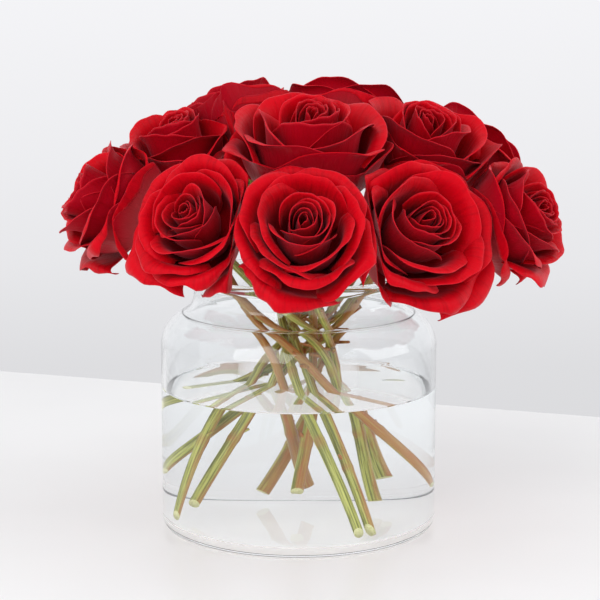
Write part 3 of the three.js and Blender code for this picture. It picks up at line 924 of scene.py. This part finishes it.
def add_stubs(bm, rose, frames, knots, layers):
    """Stubs of trimmed leaves at the knots and where the stems cross, and a few blunt prickles.

    Each is a cone: its place along the stem, the radii of its foot and tip, its height and its lean.
    """
    last = len(frames) - 1
    low, high = CROSSING
    crossing = [i / last for i, spot in enumerate(frames) if low < spot.translation.z / MM < high]
    stubs = [(knot, *KNOT_STUB) for knot in knots]
    for i in range(STALKS):
        place = crossing[int(len(crossing) * (i + chance(i, rose.number + 90)) / STALKS)]
        height = mix(*STALK_HEIGHT, chance(i, rose.number + 91))
        stubs.append((place, *STALK_RADII, height, mix(*STALK_LEAN, chance(i, rose.number + 92))))
    stubs += [(mix(*PRICKLE_PLACES, chance(i, rose.number + 60)), *PRICKLE) for i in range(PRICKLES)]
    for i, (place, foot, tip, height, lean) in enumerate(stubs):
        spot = frames[int(place * last)]
        side = Matrix.Rotation(2 * math.pi * chance(i, rose.number + 30), 4, "Z")
        tilt = Matrix.Rotation(math.radians(180 - lean), 4, "X")
        scale = Matrix.Scale(MM / spot.to_scale()[0], 4)
        stand = spot @ side @ scale @ tilt @ Matrix.Translation((0, 0, height / 2 + STUB_SUNK))
        cone = bmesh.ops.create_cone(
            bm, cap_ends=True, segments=STUB_SIDES, radius1=foot, radius2=tip, depth=height, matrix=stand
        )
        blush = min(1, rose.blush + STUB_BLUSH)
        mark(cone["verts"], layers, lambda vert: vert.co / (MARK_SPREAD * MM), STUB_KNOT, blush)


def add_hip(bm, rose, layers):
    """The green cup that carries the petals."""
    base, axes = bloom_axes(rose)
    bloom = Matrix(axes.T.tolist()).to_4x4()
    bloom.translation = Vector(base)
    spots = [bm.verts.new((r, 0, z)) for r, z in HIP_PROFILE]
    edges = [bm.edges.new(pair) for pair in zip(spots, spots[1:])]
    before = set(bm.verts) - set(spots)
    bmesh.ops.spin(
        bm, geom=spots + edges, cent=(0, 0, 0), axis=(0, 0, 1), angle=2 * math.pi, steps=HIP_SIDES,
        use_merge=True,
    )
    hip = [vert for vert in bm.verts if vert not in before]
    bmesh.ops.remove_doubles(bm, verts=hip, dist=1e-3)
    hip = [vert for vert in bm.verts if vert not in before]
    mark(hip, layers, lambda vert: vert.co / MARK_SPREAD)
    bmesh.ops.transform(bm, matrix=Matrix.Scale(MM, 4) @ bloom, verts=hip)
    for face in {face for vert in hip for face in vert.link_faces}:
        face.material_index = 1
    return bloom


def add_sepals(bm, rose, bloom, layers):
    """Five narrow sepals, which turn back along the stem and end in a curled thread."""
    for number in range(SEPAL_COUNT):
        turn = Matrix.Rotation(2 * math.pi * (number + 0.5) / SEPAL_COUNT, 4, "Z")
        bend = math.radians(mix(*SEPAL_BEND, chance(number, rose.number + 79)))
        side_sway = SEPAL_SWAY * (chance(number, rose.number + 12) - 0.5)
        columns, rows = SEPAL_GRID
        grids = [
            bmesh.ops.create_grid(bm, x_segments=columns, y_segments=rows, size=1)["verts"] for _ in range(2)
        ]
        for grid, lift in zip(grids, (SEPAL_HALF_THICK, -SEPAL_HALF_THICK)):
            for vert in grid:
                u, v = vert.co.x, (vert.co.y + 1) / 2
                leaf = max(0, 1 - SEPAL_TAPER * v) ** 0.75 * (0.8 + SEPAL_SWELL * math.sin(2.6 * v + 0.4))
                half = SEPAL_HALF_WIDTH * leaf + SEPAL_THREAD[0] - SEPAL_THREAD[1] * v
                lobes = 1 + LOBE_SIZE * max(0, math.sin(LOBE_WAVES * v + number)) * (v > LOBE_START)
                out = SEPAL_ROOT[0] + SEPAL_LENGTH * math.sin(bend * v) / bend
                down = SEPAL_ROOT[1] - SEPAL_LENGTH * (1 - math.cos(bend * v)) / bend
                cup = SEPAL_CUP * u * u * (1 - v)
                sway = side_sway * v * v
                thick = lift * (1 - SEPAL_THINNING[0] * v) * (1 - SEPAL_THINNING[1] * u * u)
                point = Vector((out + (thick + cup) * math.sin(bend * v), u * half * lobes + sway,
                                down + (thick + cup) * math.cos(bend * v)))
                vert[layers["straight"]] = (u, v * 3, number)
                vert[layers["knot"]] = 0
                vert[layers["blush"]] = SEPAL_BLUSH * v * v
                vert.co = MM * (bloom @ turn @ point)
        faces = [{face for vert in grid for face in vert.link_faces} for grid in grids]
        bmesh.ops.reverse_faces(bm, faces=list(faces[1]))
        rims = {edge for grid in grids for vert in grid for edge in vert.link_edges}
        skirt = bmesh.ops.bridge_loops(bm, edges=[edge for edge in rims if edge.is_boundary])["faces"]
        for face in [*faces[0], *faces[1], *skirt]:
            face.material_index = 1


def stem_finish(name, settings, kind):
    """Waxy green with a red-brown blush and fine streaks, which mix a shaded and a lit green as painted
    light and shade; kind is stem, sepal or pith.
    """
    finish = Finish(name)
    straight = finish.attribute("straight", "Vector")
    x, y, z = finish.split(straight)
    streaks = finish.noise(finish.join(x, y, finish.math("MULTIPLY", z, 0.09)), 3.2, 4.0, 0.6)
    patches = finish.noise(finish.join(x, y, finish.math("MULTIPLY", z, 0.5)), 1.1, 2.0)
    freckles = finish.noise(straight, 7.0, 2.0)
    if kind == "pith":
        finish.set(Base_Color=finish.blend(finish.span(freckles, 0.4, 0.7), settings.pith, settings.pale),
                   Roughness=0.6)
        return finish.material
    blush = finish.attribute("blush")
    knot = finish.attribute("knot")
    main = settings.sepal if kind == "sepal" else settings.green
    # Painted light and shade: random streaks along the stem mix the dark green in shade with the lit pale
    # green
    green = finish.blend(finish.span(streaks, 0.4, 0.6), main, settings.pale)
    side = finish.math("ADD", finish.math("MULTIPLY", x, 0.3), finish.math("MULTIPLY", patches, 0.6))
    red = finish.span(finish.math("ADD", side, blush), 0.6, 0.95)
    red = finish.math("MAXIMUM", red, finish.math("MULTIPLY", knot, 0.7))
    red = finish.math("MULTIPLY", red, finish.span(streaks, 0.35, 0.6, 1.0, 0.7))
    tone = finish.blend(red, green, settings.brown)
    finish.set(Base_Color=tone, Roughness=0.36, Specular_IOR_Level=0.5)
    height = finish.math("ADD", streaks, finish.math("MULTIPLY", freckles, 0.5))
    finish.bump(height, 0.0005, 0.6)
    return finish.material


class ROSES_OT_stems(bpy.types.Operator):
    """Makes the twelve stems, each with its hip and sepals"""

    bl_idname = "roses.stems"
    bl_label = "Stems"

    def execute(self, context):
        settings = context.scene.roses_stems
        materials = [stem_finish(f"rose_{kind}", settings, kind) for kind in ("stem", "sepal", "pith")]
        for rose in ROSES:
            bm = bmesh.new()
            layers = {
                "straight": bm.verts.layers.float_vector.new("straight"),
                "knot": bm.verts.layers.float.new("knot"),
                "blush": bm.verts.layers.float.new("blush"),
            }
            frames, knots = add_stem(bm, rose, settings, layers)
            add_stubs(bm, rose, frames, knots, layers)
            bloom = add_hip(bm, rose, layers)
            add_sepals(bm, rose, bloom, layers)
            bmesh.ops.recalc_face_normals(bm, faces=bm.faces)
            name = f"{rose.number:02d}"
            piece(f"rose_stem_{name}", bm, materials, [f"stem_{name}"])
        return {"FINISHED"}


# The stage


# The table, in metres and degrees: its size, how far it is turned, how far behind the vase its edge runs,
# how far its top is above the floor that the vase stands on, and how much darker it is in clouds
TABLE_SIZE = (12, 9, 0.04)
TABLE_BEVEL = 0.006
TABLE_TURN = -19.6
TABLE_EDGE = 0.37
TABLE_TOP = 0.0003
TABLE_CLOUD = 0.97

# The lights and the camera, in metres, with the lens and the sensor in millimetres. It looks at the height
# MIDDLE, and sees what is within SIGHT.
KEY = {"size": 1.6, "place": (-0.8, -1.3, 1.1), "aim": (0, 0, 0.17)}
FILL = {"size": 1.2, "place": (1.4, -0.2, 0.75), "aim": (0.1, 0, 0.05)}
FILL_SHARE = 0.4
LENS = 122.2
SENSOR = 36
LENS_SHIFT = 0.0023
SIGHT = (0.05, 30)
MIDDLE = 0.138

# The room's brightness, at shares of the way from ROOM_SPAN's low look to its high one
ROOM_SPAN = (-0.4, 0.6)
ROOM_TONES = [(0.0, 0.62), (0.2, 0.74), (0.25, 0.82), (0.3, 0.865), (0.38, 0.92), (0.5, 0.9), (1.0, 0.8)]
ROOM_TINT = (0.985, 0.985, 1.01)


def soft_light(name, size, place, aim, power):
    lamp = bpy.data.lights.new(name, "AREA")
    lamp.shape = "SQUARE"
    lamp.size = size
    lamp.energy = power
    made = bpy.data.objects.new(name, lamp)
    made.location = place
    made.rotation_euler = (Vector(aim) - Vector(place)).to_track_quat("-Z", "Y").to_euler()
    bpy.context.scene.collection.objects.link(made)


def pale_room(scene):
    """An even pale surround, a little darker low down."""
    world = bpy.data.worlds.new("pale_room")
    world.use_nodes = True
    nodes, links = world.node_tree.nodes, world.node_tree.links
    nodes.clear()
    where = nodes.new("ShaderNodeTexCoord")
    height = nodes.new("ShaderNodeSeparateXYZ")
    tones = nodes.new("ShaderNodeValToRGB")
    sky = nodes.new("ShaderNodeBackground")
    output = nodes.new("ShaderNodeOutputWorld")
    span = nodes.new("ShaderNodeMapRange")
    span.inputs["From Min"].default_value, span.inputs["From Max"].default_value = ROOM_SPAN
    ramp = tones.color_ramp
    for place, _ in ROOM_TONES[1:-1]:
        ramp.elements.new(place)
    for element, (place, level) in zip(ramp.elements, ROOM_TONES):
        element.position = place
        element.color = (*(level * tint for tint in ROOM_TINT), 1)
    links.new(where.outputs["Generated"], height.inputs[0])
    links.new(height.outputs["Z"], span.inputs["Value"])
    links.new(span.outputs["Result"], tones.inputs["Fac"])
    links.new(tones.outputs["Color"], sky.inputs["Color"])
    links.new(sky.outputs["Background"], output.inputs["Surface"])
    scene.world = world


class ROSES_OT_stage(bpy.types.Operator):
    """Makes the pale table, the soft light and the camera"""

    bl_idname = "roses.stage"
    bl_label = "Stage"

    def execute(self, context):
        scene = context.scene
        settings = scene.roses_stage
        bm = bmesh.new()
        bmesh.ops.create_cube(bm, size=1)
        bmesh.ops.scale(bm, vec=TABLE_SIZE, verts=bm.verts)
        bmesh.ops.bevel(
            bm, geom=bm.edges[:], offset=TABLE_BEVEL, offset_type="OFFSET", affect="EDGES", segments=3,
            profile=0.5, material=-1,
        )
        edge_at_axis = Matrix.Translation((0, -TABLE_SIZE[1] / 2, -TABLE_SIZE[2] / 2))
        turned = Matrix.Rotation(math.radians(TABLE_TURN), 4, "Z") @ edge_at_axis
        place = Matrix.Translation((0, TABLE_EDGE, TABLE_TOP)) @ turned
        bmesh.ops.transform(bm, matrix=place, verts=bm.verts)
        finish = Finish("white_table")
        body = finish.node("ShaderNodeTexCoord").outputs["Object"]
        cloud = finish.noise(body, 6.0, 2.0)
        clouded = [channel * TABLE_CLOUD for channel in settings.table]
        tone = finish.blend(finish.span(cloud, 0.3, 0.7), settings.table, clouded)
        finish.set(Base_Color=tone, Roughness=0.35, Specular_IOR_Level=0.35)
        mesh = bpy.data.meshes.new("table")
        bm.to_mesh(mesh)
        bm.free()
        mesh.materials.append(finish.material)
        table = bpy.data.objects.new("table", mesh)
        scene.collection.objects.link(table)
        pale_room(scene)
        soft_light("key", **KEY, power=settings.key)
        soft_light("fill", **FILL, power=settings.key * FILL_SHARE)
        lens = bpy.data.cameras.new("camera")
        lens.sensor_width = SENSOR
        lens.lens = LENS
        lens.shift_x = LENS_SHIFT
        lens.clip_start, lens.clip_end = SIGHT
        camera = bpy.data.objects.new("camera", lens)
        eye_height = MIDDLE + settings.eye_distance * math.tan(settings.tilt)
        camera.location = (0, -settings.eye_distance, eye_height)
        camera.rotation_euler = (math.pi / 2 - settings.tilt, 0, 0)
        scene.collection.objects.link(camera)
        scene.camera = camera
        scene.view_settings.view_transform = "Standard"
        return {"FINISHED"}


# The add-on


class ROSES_PT_panel(bpy.types.Panel):
    """Lists the sizes, colours and pieces"""

    bl_label = "Roses in a vase"
    bl_idname = "ROSES_PT_panel"
    bl_space_type = "VIEW_3D"
    bl_region_type = "UI"
    bl_category = "Roses"

    def draw(self, context):
        scene = context.scene
        parts = [
            (scene.roses_vase, ("roses.vase", "roses.water")),
            (scene.roses_blooms, ("roses.blooms",)),
            (scene.roses_stems, ("roses.stems",)),
            (scene.roses_stage, ("roses.stage",)),
        ]
        for settings, operators in parts:
            box = self.layout.box()
            for key in settings.__annotations__:
                box.prop(settings, key)
            for operator in operators:
                box.operator(operator)


SETTINGS = {
    "roses_vase": VaseSettings,
    "roses_blooms": BloomSettings,
    "roses_stems": StemSettings,
    "roses_stage": StageSettings,
}
CLASSES = [
    *SETTINGS.values(), ROSES_OT_vase, ROSES_OT_water, ROSES_OT_blooms, ROSES_OT_stems, ROSES_OT_stage,
    ROSES_PT_panel,
]


def register():
    for cls in CLASSES:
        bpy.utils.register_class(cls)
    for name, cls in SETTINGS.items():
        setattr(bpy.types.Scene, name, bpy.props.PointerProperty(type=cls))


def unregister():
    for name in SETTINGS:
        delattr(bpy.types.Scene, name)
    for cls in reversed(CLASSES):
        bpy.utils.unregister_class(cls)


def main():
    register()
    bpy.ops.roses.vase()
    bpy.ops.roses.water()
    bpy.ops.roses.blooms()
    bpy.ops.roses.stems()
    bpy.ops.roses.stage()
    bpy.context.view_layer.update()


if __name__ == "__main__":
    main()
